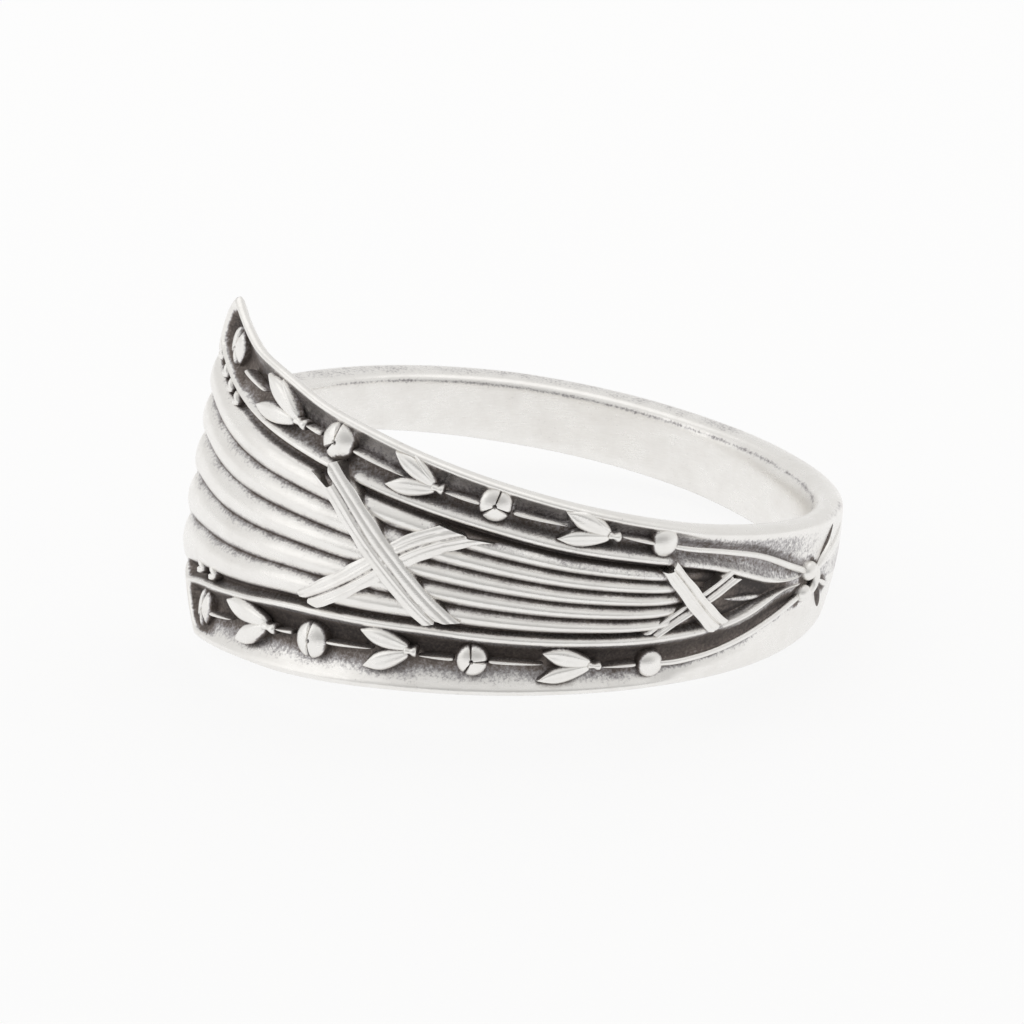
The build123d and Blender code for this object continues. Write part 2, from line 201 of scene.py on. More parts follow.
# %% [markdown]
# ## The lines of the handle
# Before cutting, a chaser scribes the lines of a handle: its outline, the two thin ridges, and the
# middle line that the ornament keeps to. Each table gives an angle round the finger and a length
# in millimetres there. Reading them through a short running average makes them flow.

# %% Scribe the lines
HALF_WIDTH = [
    (-92, 5.6), (-75, 5.26), (-72, 5.16), (-69, 5.04), (-66, 4.89), (-61, 4.72), (-56, 4.56),
    (-48, 4.33), (-38, 4.14), (-28, 3.88), (-18, 3.58), (-8, 3.31), (2, 3.06), (12, 2.82),
    (22, 2.61), (34, 2.37), (46, 2.19), (57, 2.04), (68, 1.88), (86, 1.68), (100, 1.48),
    (118, 1.29), (140, 1.19), (184, 1.13), (204, 1.03), (222, 0.92), (240, 0.83), (280, 0.71), (288, 0.70),
]
TIP_RISE = [
    (-92, 1.1), (-70, 0.88), (-66, 0.66), (-62, 0.51), (-59, 0.41), (-56, 0.28), (-53, 0.22),
    (-49, 0.27), (-45, 0.22), (-41, 0.12), (-36, 0),
]
RIDGE_LINE = [
    (-92, 4.2), (-74, 3.98), (-69, 3.63), (-64, 3.27), (-59, 3.02), (-53, 2.77), (-48, 2.6),
    (-40, 2.35), (-32, 2.15), (-22, 1.95), (-10, 1.71), (-1.5, 1.59), (10, 1.40), (16, 1.32),
    (22, 1.25), (29, 1.14), (36, 1.0), (40, 0.87), (45, 0.67), (49, 0.45), (52, 0.28), (55, 0.13),
    (59, 0.1), (68, 0.28), (76, 0.49), (86, 0.65), (100, 0.70), (140, 0.66), (204, 0.57),
    (240, 0.45), (288, 0.39),
]
MIDDLE_LINE = [
    (-92, 0.32), (-74, 0.32), (-71, 0.30), (-67, 0.23), (-62, 0.12), (-56, 0.04),
    (-48, 0), (70, 0), (92, 0.04), (118, 0.04), (150, 0),
]
ORNAMENT_SHIFT = [
    (-92, 0.2), (-64, 0.17), (-56, 0.17), (-48, 0.2), (-38, 0.27), (-10, 0.29), (10, 0.21),
    (36, 0.23), (45, 0.17), (50, 0.19), (55, 0.28), (62, 0.28), (68, 0.24), (80, 0.1), (95, 0),
]
WALL = [(-92, 1.15), (60, 1.15), (100, 1.26), (140, 1.40), (240, 1.40), (256, 1.23), (280, 0.70), (288, 0.64)]
CROWN = [(-92, 0.08), (60, 0.08), (100, 0.18), (140, 0.30), (240, 0.30), (280, 0.18), (288, 0.18)]
EDGE = [
    (-92, 0.30), (-66, 0.31), (-56, 0.36), (-38, 0.44), (-18, 0.54), (2, 0.64), (22, 0.72), (46, 0.76),
    (62, 0.72), (76, 0.64), (96, 0.62), (116, 0.74), (140, 0.95), (240, 0.95), (280, 0.32), (288, 0.3),
]
BACK_FLAT = [(-92, 0.5), (-60, 0.5), (-20, 0.78), (30, 0.8), (76, 0.5), (112, 0.5), (150, 0.82), (288, 0.86)]
REED_SHAPE = [(-60, 0.8), (-20, 0.9), (10, 1.0)]
THIN_RIM = [
    (-92, 0.4), (-68, 0.4), (-58, 0.5), (-30, 0.6), (0, 0.7), (26, 0.8), (34, 1), (60, 1.1),
    (78, 2.0), (112, 2.0), (140, 1.3), (180, 1),
]
RIDGE_SLIM = [(-92, 0.6), (-56, 0.65), (-30, 0.9), (0, 1), (30, 0.9), (42, 0.7), (60, 0.7)]
CHANNEL_DEPTH = [(-92, 0.42), (14, 0.42), (28, 0.36), (34, 0.30), (46, 0.22), (57, 0.14), (64, 0.04), (68, 0)]
GAP_DEPTH = [(-92, 0.44), (-38, 0.42), (2, 0.36), (34, 0.38), (40, 0.40), (50, 0.36), (57, 0.16), (61, 0)]
REEDS = [(-92, 1), (24, 1), (29, 0.8), (34, 0.35), (40, 0.08), (46, 0)]


def along(table, angle, flow=2.5):
    """A scribed line at any angle, evened out over a few degrees."""
    angles, values = zip(*table)
    angle = np.asarray(angle, float)
    taps = np.linspace(-flow, flow, 5)
    return sum(np.interp(angle + tap, angles, values) for tap in taps) / len(taps)


def half_width(angle, side):
    """Half of the handle's width; the upper corner rises to a tip."""
    return along(HALF_WIDTH, angle) + np.where(np.asarray(side) > 0, along(TIP_RISE, angle), 0)


for station in (-60, 0, 60, 180):
    print("at", station, "the handle is", round(2 * float(along(HALF_WIDTH, station)), 2), "mm wide")

# %% [markdown]
# ## The handle itself
# One grid of faces is enough for the whole handle, rolled up across its width like a flat tube:
# face, side edges and back. Its lines lie on the rim, the channels, the ridges and the reeds, so
# each line along the handle keeps its own curve. Extruding can't give that, since no two lines
# run side by side, so the grid primitive's vertices are laid straight on the scribed lines. One
# level of subdivision then rounds everything, as the casting and years of wear did.

# %% Values of the handle
CORNER_X = flat_x(-69)
END_EDGE = [
    (-5.0, -61), (-4.6, -65), (-4.2, -68.6), (-3.8, -72), (-3.3, -75), (-2.7, -76.9),
    (-2.0, -78), (-1.2, -77.6), (-0.4, -76.2), (0.6, -74.8), (1.6, -73.7), (2.6, -72.8), (3.6, -71.7),
    (4.2, -71), (4.7, -70.2), (5.05, -68.9), (5.35, -67.6), (5.7, -65.6), (5.95, -63),
]
STRAIGHTEN = 11.0
END_RIM = 0.24
END_FADE = 0.24
END_REED = 0.45
FOOT_TUCK = (280, 286, 0.1)
END_ROUND = 0.17
BEVEL = 0.13
RIM = 0.1
EDGE_DROP = 0.14
RIDGE_HALF = 0.11
REED_COUNT = 5
REED_SINK = 0.17
REED_RISE = 0.11
REED_PLACES = (0, 0.06, 0.17, 0.32, 0.5, 0.68, 0.83, 0.94)
CHANNEL_SHAPE = [
    (0.07, 0.22), (0.18, 0.50), (0.33, 0.78), (0.5, 0.95), (0.68, 1.0), (0.85, 0.88), (0.95, 0.55),
]
BACK_ROWS = (-0.86, -0.72, -0.5, -0.25, 0, 0.25, 0.5, 0.72, 0.86)
SLIM_HALF = 2.6
SLIM_RIDGE = 0.4
RIDGE_FLANK = 1.9
RIDGE_SIDE = 1.35
RIDGE_CREST = 0.55
GAP_SHARE = 0.095
REED_INSET = 0.045
SHUT_ANGLE = 26
SHUT_SPAN = 12
SHUT_AMOUNT = 0.85


def ease(t):
    """0 below 0, 1 above 1 and a soft step between."""
    t = np.clip(t, 0, 1)
    return t * t * (3 - 2 * t)


def side_lines(side):
    """Lines from the outline in to the reeds, each as (line name, share) for cross_line."""
    lines = [("edge_in", 0), ("edge_out", 0), ("arris", 0), ("rim", 0)]
    lines += [("channel", k) for k in range(len(CHANNEL_SHAPE))]
    lines += [("ridge_out", 0), ("crest_out", 0), ("crest_in", 0), ("ridge_in", 0), ("gap", 0)]
    return [(name, share, side) for name, share in lines]


def reed_lines():
    lines = [("reed", reed + place, 1) for reed in range(REED_COUNT) for place in REED_PLACES]
    return lines + [("reed", REED_COUNT, 1)]


def cross_line(line, angle):
    """Height from the middle line, depth under the face and kind of one line at many angles."""
    name, share, side = line
    half = half_width(angle, side)
    ridge = along(RIDGE_LINE, angle)
    shift = along(ORNAMENT_SHIFT, angle)
    slim = np.minimum(1, half / SLIM_HALF)
    if side > 0:
        slim = slim * along(THIN_RIM, angle)
    ridge_half = RIDGE_HALF * along(RIDGE_SLIM, angle) * np.minimum(1, ridge / SLIM_RIDGE)
    channel = along(CHANNEL_DEPTH, angle)
    gap = along(GAP_DEPTH, angle)
    gap_place = ridge - np.maximum(GAP_SHARE * ridge, RIDGE_FLANK * ridge_half)
    arris = half - BEVEL * slim
    rim = arris - RIM * slim
    crest = ridge + side * shift
    foot = crest + RIDGE_FLANK * ridge_half
    if name == "edge_out":
        return side * half, EDGE_DROP * slim, True
    if name == "arris":
        return side * arris, 0 * half, False
    if name == "rim":
        return side * rim, 0.03 * channel, False
    if name == "channel":
        place, sink = CHANNEL_SHAPE[share]
        shut = ease((angle - SHUT_ANGLE) / SHUT_SPAN) * (1 - ease((place - 0.2) / 0.35))
        return side * (rim + (foot - rim) * place), sink * channel * (1 - SHUT_AMOUNT * shut), False
    if name == "ridge_out":
        return side * (crest + RIDGE_SIDE * ridge_half), 0.25 * channel, False
    if name == "crest_out":
        return side * (crest + RIDGE_CREST * ridge_half), 0 * half, False
    if name == "crest_in":
        return side * (crest - RIDGE_CREST * ridge_half), 0 * half, False
    if name == "ridge_in":
        return side * (crest - RIDGE_SIDE * ridge_half), 0.35 * gap, False
    reach = gap_place - REED_INSET * ridge
    if name == "gap":
        return side * (gap_place + side * shift), gap, False
    pitch = 2 * reach / REED_COUNT
    part = share - math.floor(share) if share < REED_COUNT else 0.0
    arch = (1 - (2 * part - 1) ** 2) ** along(REED_SHAPE, angle)
    reed = REED_SINK - (REED_SINK + REED_RISE) * arch
    if share in (0, REED_COUNT):
        reed = REED_SINK * 1.5
    amount = along(REEDS, angle)
    return -reach + pitch * share + shift, gap + (reed - gap) * amount, False


# %% Lay the grid on the lines
outside = side_lines(-1) + reed_lines() + side_lines(1)[::-1]
END_STATIONS = (0, 0.03, 0.08, 0.16, 0.27, 0.38)
FRONT_STEP = 0.175
STEM_STATIONS = 48
stem_from, stem_to = flat_x(70) - CORNER_X, flat_x(288) - CORNER_X
front_stations = np.arange(0.5, stem_from, FRONT_STEP)
stem_stations = np.linspace(stem_from, stem_to, STEM_STATIONS)
distances = np.concatenate([END_STATIONS, front_stations, stem_stations])
line_count = len(outside) + len(BACK_ROWS) + 1

only(camera)
bpy.ops.mesh.primitive_grid_add(
    x_subdivisions=len(distances) - 1, y_subdivisions=line_count - 1, size=2
)
band = named("band")
columns = len(distances)


def end_edge(height):
    """The wide end's bulging edge: its place along X for a height from the middle line."""
    return np.radians(along(END_EDGE, height, 0.4)) * FACE_RADIUS


def laid_line(line):
    """One line of the handle as an array of points, one for each distance from the end."""
    straight = ease(distances / STRAIGHTEN)
    x = CORNER_X + distances
    for _ in range(4):
        angle = np.degrees(x / FACE_RADIUS)
        half = half_width(angle, line[1] if line[0] == "back" else line[2])
        if line[0] == "back":
            height = line[1] * half
        elif line[0] == "edge_in":
            height = line[2] * half
        else:
            height = cross_line(line, angle)[0]
        end = end_edge(height[0])
        x = end + distances + (CORNER_X - end) * straight
    wall = along(WALL, angle)
    crown = along(CROWN, angle)
    round_off = END_ROUND * (1 - np.sqrt(1 - np.clip(1 - distances / END_ROUND, 0, 1) ** 2))
    face = FINGER_RADIUS + wall - crown * np.clip(height / half, -1, 1) ** 2
    rim_face = FINGER_RADIUS + wall - crown
    inner_edge = np.maximum(rim_face - along(EDGE, angle), FINGER_RADIUS + 0.2 * np.minimum(1, half / 1.2))
    tuck_from, tuck_to, tuck = FOOT_TUCK
    tucked = tuck * ease((angle - tuck_from) / (tuck_to - tuck_from))
    if line[0] == "back":
        thinned = np.clip((abs(line[1]) - along(BACK_FLAT, angle)) / (1 - along(BACK_FLAT, angle)), 0, 1)
        radius = FINGER_RADIUS + round_off + tucked + (inner_edge - FINGER_RADIUS) * thinned ** 1.3
    elif line[0] == "edge_in":
        radius = inner_edge + round_off * 0.5
    else:
        _, depth, plain = cross_line(line, angle)
        if line[0] == "reed":
            relief = END_REED + (1 - END_REED) * ease(distances / END_FADE / 2)
        else:
            relief = 1 if plain else ease((distances - END_RIM) / END_FADE)
        radius = face - depth * relief - round_off
    lift = along(MIDDLE_LINE, angle)
    return np.stack([x, FACE_RADIUS - radius, height + lift], axis=1)


tube = outside + [("back", share, 1) for share in BACK_ROWS[::-1]] + [outside[0]]
put(band, np.concatenate([laid_line(line) for line in tube]))
print("the grid has", columns, "stations and", line_count, "lines")

# %% [markdown]
# The first and last lines of the grid lie on top of each other, so merging closes the tube. Its
# two open ends are filled, and the normals are recalculated because rolling the grid up may have
# turned them inwards.

# %% Close and smooth the handle
MERGE = 0.0005
FLAT_CREASE = math.radians(50)

edit(band, lambda co: True)
bpy.ops.mesh.remove_doubles(threshold=MERGE)
done()
smooth_over(band, 1)
edit(band, lambda co: False)
bpy.ops.mesh.select_mode(type="EDGE")
bpy.ops.mesh.select_non_manifold(
    extend=False, use_wire=False, use_multi_face=False, use_non_contiguous=False, use_verts=False
)
bpy.ops.mesh.fill()
bpy.ops.mesh.select_all(action="SELECT")
bpy.ops.mesh.normals_make_consistent(inside=False)
done()
bpy.ops.object.shade_smooth_by_angle(angle=FLAT_CREASE)
pieces.append(band)
print("band:", len(band.data.polygons), "faces")

# %% [markdown]
# ## Beads and buds
# Along each channel sit four round studs. The one next to the stem is a plain bead, and the others
# are buds, split into two or three. The bud at the wide end is flatter and sits lower. A sphere
# with its pole towards us has meridians that meet in the middle, so pushing some of them in gives
# the split with no cutting. The half that faces away is deleted, and its open rim is pulled down
# into the channel, so each stud has upright sides.

# %% Model the bead and the buds
STUD_FOOT = 0.26
STUD_RINGS = 22
SPLIT_END = 0.6
SPLIT_CENTRE = 0.04


def stud(name, radius, flatten, segments, foot=STUD_FOOT):
    only(camera)
    bpy.ops.mesh.primitive_uv_sphere_add(
        segments=segments, ring_count=STUD_RINGS, radius=radius, rotation=(math.pi / 2, 0, 0)
    )
    piece = named(name)
    edit(piece, lambda co: True)
    bpy.ops.transform.resize(value=(1, flatten, 1), center_override=(0, 0, 0))
    done()
    edit(piece, lambda co: co.y > 0.01 * radius)
    bpy.ops.mesh.delete(type="VERT")
    done()
    edit(piece, lambda co: co.y > -0.01 * radius)
    bpy.ops.mesh.extrude_region_move(TRANSFORM_OT_translate={"value": (0, foot, 0)})
    done()
    return piece


def on_arm(co, arms, width, end):
    """True out to the end of one of the arms of the split."""
    way = math.degrees(math.atan2(co.z, co.x))
    out = math.hypot(co.x, co.z)
    near = min(abs((way - arm + 180) % 360 - 180) for arm in arms)
    return co.y < 0.02 and out < end and (near < width or out < SPLIT_CENTRE)


bead = stud("bead", 0.43, 0.62, 32)
bud = stud("bud", 0.47, 0.56, 72)
split_bud = stud("split_bud", 0.47, 0.56, 72)
curved_bud = stud("curved_bud", 0.47, 0.56, 72)
flat_bud = stud("flat_bud", 0.47, 0.32, 72, foot=0.3)
CUTS = (
    (bud, (100, 245, 0)), (split_bud, (95, 268)), (curved_bud, (96, 228)),
    (flat_bud, (88, 240, 300)),
)
for piece, arms in CUTS:
    pushes = ((17, 0.03), (9, 0.07)) if piece is flat_bud else ((9, 0.04), (4, 0.11))
    for width, push in pushes:
        edit(piece, lambda co: on_arm(co, arms, width, SPLIT_END))
        bpy.ops.transform.translate(value=(0, push, 0))
        done()
print("bud:", len(bud.data.polygons), "faces")

# %% Set them along the channels
STUDS = [
    ("bead", 26.8, 1.95, 0, (1.0, 1, 1.0)), ("bead", 28.0, -1.68, 0, (0.95, 1, 0.95)),
    ("bud", -2.9, 2.56, -24, (1.04, 1, 1.04)), ("bud", -2.6, -2.05, 4, (1.0, 1, 1.0)),
    ("curved_bud", -32.0, 3.19, -6, (1.17, 1, 1.17)), ("split_bud", -31.4, -2.74, 4, (1.15, 1, 1.15)),
    ("flat_bud", -63.5, 4.36, -12, (1.04, 1, 1.26)), ("flat_bud", -62.2, -3.66, 0, (1.0, 1, 1.3)),
]
STUD_TOP = 0.06
FLAT_TOP = -0.13
studs = {"bead": bead, "bud": bud, "split_bud": split_bud, "curved_bud": curved_bud,
         "flat_bud": flat_bud}
for kind, angle, height, turn, size in STUDS:
    name = f"{kind}_{'above' if height > 0 else 'below'}_{abs(angle):.0f}"
    dome = -places(studs[kind])[:, 1].min()
    top = FLAT_TOP if kind == "flat_bud" else STUD_TOP
    copy_of(studs[kind], name, angle, height, top - dome, turn, size)
print("set", len(STUDS), "studs")

# %% [markdown]
# ## Petals, stalks and collars
# A petal is a short bar whose rings shrink to a point. A cylinder is laid along the handle, cut
# across by bisecting it, and each ring is then scaled to its own width and depth. The line of
# vertices that faces us is pushed in a little, which gives the vein. Each bar is one millimetre
# long, so that a copy can be stretched from its foot to its tip.

# %% A bar turned to a profile
def turned(name, rings, vein=0.0):
    """A bar from the origin to the left. A ring is (place, half height, half depth)."""
    only(camera)
    bpy.ops.mesh.primitive_cylinder_add(
        vertices=12, radius=1, depth=1, location=(-0.5, 0, 0), rotation=(0, math.pi / 2, 0)
    )
    piece = named(name)
    for place, _, _ in rings[1:-1]:
        edit(piece, lambda co: True)
        bpy.ops.mesh.bisect(plane_co=(-place, 0, 0), plane_no=(1, 0, 0))
        done()
    for place, half_height, half_depth in rings:
        edit(piece, lambda co: abs(co.x + place) < 0.01)
        bpy.ops.transform.resize(
            value=(1, half_depth, half_height), center_override=(-place, 0, 0)
        )
        done()
    if vein:
        edit(piece, lambda co: co.y < 0 and abs(co.z) < 0.02 and -0.9 < co.x < -0.1)
        bpy.ops.transform.translate(value=(0, vein, 0))
        done()
    smooth_over(piece, 2)
    return piece


def stretch(pattern, name, foot, tip, level, wide=1.0):
    """A copy of a one millimetre bar, from its foot to its tip, both (angle, height)."""
    along_x = flat_x(tip[0]) - flat_x(foot[0])
    along_z = tip[1] - foot[1]
    turn = math.degrees(math.atan2(-along_z, -along_x))
    length = math.hypot(along_x, along_z)
    return copy_of(pattern, name, foot[0], foot[1], level, turn, (length, 1, wide))


PETAL_RINGS = [
    (0, 0.12, 0.16), (0.12, 0.18, 0.24), (0.3, 0.26, 0.28), (0.5, 0.31, 0.29), (0.68, 0.29, 0.28),
    (0.83, 0.18, 0.23), (0.94, 0.07, 0.16), (1, 0.015, 0.1),
]
SLIM_RINGS = [(0, 0.05, 0.12), (0.2, 0.09, 0.22), (0.5, 0.13, 0.25), (0.8, 0.09, 0.2), (1, 0.015, 0.1)]
COLLAR_RINGS = [
    (0, 0.09, 0.18), (0.08, 0.15, 0.24), (0.3, 0.15, 0.25), (0.5, 0.08, 0.22), (0.75, 0.12, 0.24),
    (1, 0.14, 0.22),
]
STALK_RINGS = [(0, 0.06, 0.2), (0.1, 0.085, 0.24), (0.5, 0.075, 0.24), (0.9, 0.04, 0.2), (1, 0.015, 0.15)]

petal = turned("petal", PETAL_RINGS, vein=0.07)
slim_petal = turned("slim_petal", SLIM_RINGS)
collar = turned("collar", COLLAR_RINGS)
stalk = turned("stalk", STALK_RINGS)
print("petal:", len(petal.data.polygons), "faces")

# %% [markdown]
# A husk is two petals and a collar, and the upper ones show a slim third petal. They lean with the
# channel, so every one is set by its own foot and tip.

# %% Set the husks and the stalks between them
PETALS = [
    ("petal", (16.8, 2.16), (8.7, 2.68), 1.0), ("petal", (16.8, 2.06), (7.8, 1.87), 0.9),
    ("slim_petal", (16.9, 2.2), (13.6, 2.62), 1.0), ("collar", (18.6, 2.07), (16.2, 2.13), 1.1),
    ("petal", (17.2, -1.70), (8.7, -1.55), 1.0), ("petal", (17.2, -1.79), (8.5, -2.38), 0.9),
    ("collar", (19.0, -1.77), (16.5, -1.75), 1.0),
    ("petal", (-13.2, 2.76), (-21.0, 3.44), 0.95), ("petal", (-13.0, 2.66), (-22.1, 2.45), 1.0),
    ("slim_petal", (-13.0, 2.80), (-17.7, 3.52), 0.9), ("collar", (-11.6, 2.68), (-13.9, 2.72), 1.1),
    ("petal", (-13.3, -2.08), (-22.4, -1.92), 1.0), ("petal", (-13.2, -2.22), (-21.0, -2.96), 1.05),
    ("collar", (-11.8, -2.14), (-14.2, -2.16), 1.2),
    ("petal", (-40.8, 3.38), (-50.3, 4.26), 1.1), ("petal", (-41.6, 3.28), (-52.8, 3.20), 1.05),
    ("slim_petal", (-41.0, 3.5), (-46.4, 4.30), 1.0), ("collar", (-38.8, 3.28), (-41.8, 3.36), 1.2),
    ("petal", (-41.2, -2.82), (-53.2, -2.80), 1.15), ("petal", (-41.4, -2.94), (-49.0, -3.78), 1.1),
    ("collar", (-39.0, -2.88), (-42.4, -2.92), 1.2),
]
STALKS = [
    ((-57.5, 3.95), (-50.4, 3.69)), ((-35.3, 3.24), (-39.3, 3.32)), ((-28.8, 3.10), (-18.0, 2.79)),
    ((-5.3, 2.53), (-11.7, 2.64)), ((0, 2.43), (9.7, 2.27)), ((25.0, 1.94), (18.7, 2.10)),
    ((-57.9, -3.57), (-51.0, -3.31)), ((-35.3, -2.73), (-39.4, -2.87)),
    ((-28.4, -2.64), (-19.5, -2.38)), ((-5.5, -2.11), (-11.7, -2.23)),
    ((0, -2.00), (9.3, -1.86)), ((25.3, -1.69), (18.9, -1.80)),
]
patterns = {"petal": petal, "slim_petal": slim_petal, "collar": collar}
for k, (kind, foot, tip, wide) in enumerate(PETALS):
    stretch(patterns[kind], f"{kind}_{k}", foot, tip, -0.2, wide)
for k, (foot, tip) in enumerate(STALKS):
    stretch(stalk, f"stalk_{k}", foot, tip, -0.24)
print("set", len(PETALS), "parts of husks and", len(STALKS), "stalks")

# %% [markdown]
# ## Crossed ribbons
# Two pairs of ribbons cross the reeds. A ribbon is a grid laid along its own middle line: a fold
# runs down it, fine lines run beside the fold, and its ends are torn. The grid is extruded down
# into the reeds, so the ribbon has real edges that cast a shadow.

# %% Lay the ribbons
RIBBON_STEPS = 56
RIBBON_THICK = 0.45
ACROSS = np.linspace(-1, 1, 33)
STRAND_PITCH = 6.3
STRAND_RISE = 0.03
STRAND_SINK = 0.025
FOLD_DEPTH = 0.07
FOLD_WIDTH = 0.09
DOME_RISE = 0.05
DOME_LEAN = 0.03
HOLLOW_DEPTH = 0.07
HOLLOW_WIDTH = 0.38
EDGE_WEAR = 0.035


def ribbon(name, route, widths, levels, fold, tears, hollow_middle=False):
    """route: (angle, height) points. tears: what each end loses, at places across the ribbon."""
    only(camera)
    rows = len(ACROSS) - 1
    bpy.ops.mesh.primitive_grid_add(x_subdivisions=RIBBON_STEPS, y_subdivisions=rows, size=2)
    piece = named(name)
    points = np.array([(flat_x(angle), height) for angle, height in route])
    spans = np.concatenate([[0], np.cumsum(np.linalg.norm(np.diff(points, axis=0), axis=1))])
    x_line = np.polyfit(spans, points[:, 0], 3)
    z_line = np.polyfit(spans, points[:, 1], 3)
    t = np.repeat(ACROSS, RIBBON_STEPS + 1)
    share = np.tile(np.linspace(0, 1, RIBBON_STEPS + 1), len(ACROSS))
    start = np.interp(t, *zip(*tears[0]))
    end = np.interp(t, *zip(*tears[1]))
    s = start + share * (spans[-1] - end - start)
    half = np.interp(s / spans[-1], *zip(*widths)) / 2
    dx, dz = np.polyval(np.polyder(x_line), s), np.polyval(np.polyder(z_line), s)
    size = np.hypot(dx, dz)
    wave = np.abs(np.sin(t * STRAND_PITCH + 0.5 * np.sin(s * 1.1) + fold))
    strands = STRAND_RISE * wave ** 0.6 - STRAND_SINK
    crease = FOLD_DEPTH * np.exp(-(((t - fold - 0.05 * np.sin(s * 2.1)) / FOLD_WIDTH) ** 2))
    dome = DOME_RISE * (1 - t * t) - DOME_LEAN * t * fold
    if hollow_middle:
        dome = -HOLLOW_DEPTH * np.exp(-((t / HOLLOW_WIDTH) ** 2))
    rise = np.interp(s / spans[-1], [0, 1], levels) + dome + strands - crease
    ragged = 1 + EDGE_WEAR * np.sin(s * 6.1 + np.sign(t) * 1.2) * np.abs(t) ** 4
    x = np.polyval(x_line, s) - dz / size * half * t * ragged
    z = np.polyval(z_line, s) + dx / size * half * t * ragged
    put(piece, np.stack([x, -rise, z], axis=1))
    edit(piece, lambda co: True)
    bpy.ops.mesh.extrude_region_move(TRANSFORM_OT_translate={"value": (0, RIBBON_THICK, 0)})
    bpy.ops.mesh.select_all(action="SELECT")
    bpy.ops.mesh.normals_make_consistent(inside=False)
    done()
    pieces.append(piece)
    return piece


ribbon(
    "ribbon_under",
    [(-33.8, -1.62), (-31.5, -1.36), (-29.1, -1.06), (-25.6, -0.63), (-22.2, -0.18), (-18.1, 0.46),
     (-15.0, 0.90), (-10.8, 1.34), (-7.4, 1.56), (-2.0, 1.74)],
    [(0, 0.5), (0.12, 0.76), (0.6, 0.84), (0.8, 0.78), (1, 0.45)],
    (0.14, 0.13), -0.05,
    [[(-1, 0.5), (-0.5, 0.28), (-0.1, 0.34), (0.4, 0.05), (1, 0.0)],
     [(-1, 0.0), (-0.7, 0.3), (-0.3, 0.75), (0.1, 0.85), (0.5, 1.15), (1, 1.45)]],
)
ribbon(
    "ribbon_over",
    [(-32.6, 2.44), (-28.0, 1.74), (-22.9, 0.94), (-19.6, 0.39), (-16.7, -0.09), (-13.2, -0.55),
     (-9.5, -0.96), (-6.3, -1.28)],
    [(0, 0.92), (0.3, 0.94), (0.6, 0.88), (1, 0.78)],
    (0.2, 0.17), -0.12,
    [[(-1, -0.2), (-0.8, 0.05), (-0.6, 0.5), (-0.15, 0.55), (0.1, 0.2), (0.5, 0.0), (1, 0.1)],
     [(-1, 0.75), (-0.3, 0.55), (-0.1, 0.62), (0.2, 0.35), (1, 0.0)]],
)
ribbon(
    "small_ribbon_under",
    [(26.2, -0.90), (29.7, -0.44), (32.6, -0.08), (36.0, 0.26), (39.5, 0.66), (42.5, 1.0)],
    [(0, 0.36), (0.5, 0.42), (1, 0.52)],
    (0.0, 0.02), 0.0,
    [[(-1, 0.3), (0.1, 0.2), (1, 0.0)], [(-1, 0.0), (-0.2, 0.22), (0.3, 0.12), (1, 0.25)]],
    hollow_middle=True,
)
ribbon(
    "small_ribbon_over",
    [(27.9, 1.28), (30.4, 0.86), (32.8, 0.44), (38.1, -0.36), (40.3, -0.64)],
    [(0, 0.50), (0.4, 0.58), (1, 0.62)],
    (0.1, 0.06), 0.2,
    [[(-1, -0.1), (-0.6, 0.05), (0, 0.14), (0.4, 0.06), (1, 0.0)],
     [(-1, 0.3), (-0.7, 0.18), (0.2, 0.12), (1, -0.1)]],
)
print("four ribbons")

# %% [markdown]
# ## Threads and bow
# From each plain bead a thread runs to the bow that closes the front. A thread is a smooth curve
# with a round bevel, made a mesh. The bow's knot is two small balls with a thick curved band beside
# them, and its loops and tails are long petals that point round the side of the ring; the tails are
# later painted dark all over, as painted shadow of the bow.

# %% Lay the threads
def thread(name, route, thickness):
    """route: (angle, height, level) points. thickness: its radius at the start and at the end."""
    curve = bpy.data.curves.new(name, "CURVE")
    curve.dimensions = "3D"
    curve.bevel_depth = 1
    curve.bevel_resolution = 4
    curve.resolution_u = 10
    curve.use_fill_caps = True
    spline = curve.splines.new("NURBS")
    spline.points.add(len(route) - 1)
    for k, (angle, height, level) in enumerate(route):
        spline.points[k].co = (flat_x(angle), -level, height, 1)
        spline.points[k].radius = thickness[0] + (thickness[1] - thickness[0]) * k / (len(route) - 1)
    spline.order_u = 3
    spline.use_endpoint_u = True
    piece = bpy.data.objects.new(name, curve)
    bpy.context.collection.objects.link(piece)
    only(piece)
    bpy.ops.object.convert(target="MESH")
    piece = named(name)
    pieces.append(piece)
    return piece


thread(
    "thread_above",
    [(27.5, 1.88, -0.12), (31, 1.81, 0.0), (36, 1.76, 0.04), (42.6, 1.6, 0.06), (46.7, 1.45, 0.06),
     (51, 1.21, 0.06), (56, 0.88, 0.06), (62, 0.54, 0.0)],
    (0.07, 0.11),
)
thread(
    "thread_below",
    [(28.5, -1.66, -0.12), (31, -1.60, 0.0), (33.5, -1.53, 0.03), (39.6, -1.33, 0.04),
     (46.2, -1.01, 0.04), (51.7, -0.68, 0.04), (56, -0.42, 0.04), (61, -0.2, 0.0)],
    (0.08, 0.1),
)

